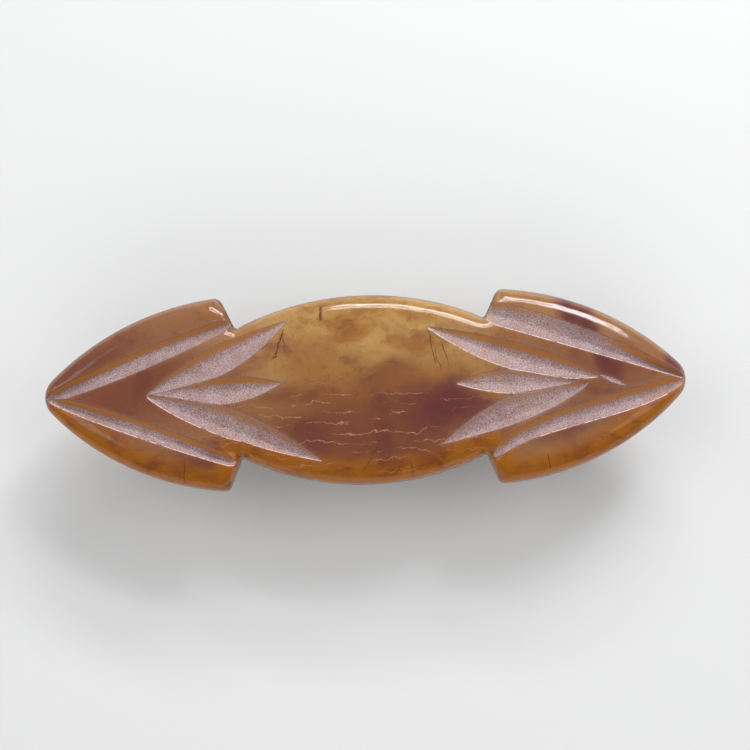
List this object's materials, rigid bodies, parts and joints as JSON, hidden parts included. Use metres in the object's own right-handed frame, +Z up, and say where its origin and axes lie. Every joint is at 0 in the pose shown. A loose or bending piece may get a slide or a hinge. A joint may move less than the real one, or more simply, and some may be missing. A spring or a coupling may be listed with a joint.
{
  "type": "barrette",
  "caption": "Carved translucent bar with long leaf cuts and winged ends, on an automatic clip with a hinged arm, a bowed tension leaf and a squeeze catch.",
  "frame": {"origin": "centre of the footprint, on the surface that the closed clip's arm rests on", "axes": "+X along the bar from the hinge end to the catch end, +Y across the bar, +Z up through the carved face"},
  "size_m": [0.089, 0.0275, 0.0142],
  "materials": {
    "amber_resin": "polished, translucent, marbled, with frosted cuts",
    "nickel_steel": "nickel plated, lightly worn",
    "spring_steel": "satin, slightly blued",
    "pin_brass": "satin"
  },
  "bodies": {
    "root": {"carved_bar": "amber_resin", "base_plate": "nickel_steel", "fixing_pin_hinge_end": "pin_brass", "fixing_pin_catch_end": "pin_brass", "hinge_pin": "nickel_steel", "catch_plate": "spring_steel", "catch_rivet": "nickel_steel"},
    "arm": {"clasp_arm": "nickel_steel"},
    "spring": {"tension_spring": "spring_steel"},
    "jaw_front": {"catch_jaw_front": "spring_steel"},
    "jaw_rear": {"catch_jaw_rear": "spring_steel"}
  },
  "joints": [
    {"name": "arm_hinge", "type": "hinge", "parent": "root", "child": "arm", "pos_m": [-0.031, 0, 0.0058], "axis": [0, 1, 0], "range_deg": [0, 70]},
    {"name": "spring_flex", "type": "hinge", "parent": "root", "child": "spring", "pos_m": [-0.031, 0, 0.0058], "axis": [0, -1, 0], "range_deg": [0, 1.3], "stiffness_Nm_per_rad": 2},
    {"name": "catch_squeeze", "type": "hinge", "parent": "root", "child": "jaw_front", "pos_m": [0.0309, -0.00235, 0.0077], "axis": [1, 0, 0], "range_deg": [0, 10], "stiffness_Nm_per_rad": 0.06},
    {"name": "catch_squeeze_rear", "type": "hinge", "parent": "root", "child": "jaw_rear", "pos_m": [0.0309, 0.00235, 0.0077], "axis": [-1, 0, 0], "range_deg": [0, 10], "stiffness_Nm_per_rad": 0.06}
  ],
  "couplings": [
    {"joint": "catch_squeeze_rear", "follows": "catch_squeeze", "ratio": 1}
  ]
}
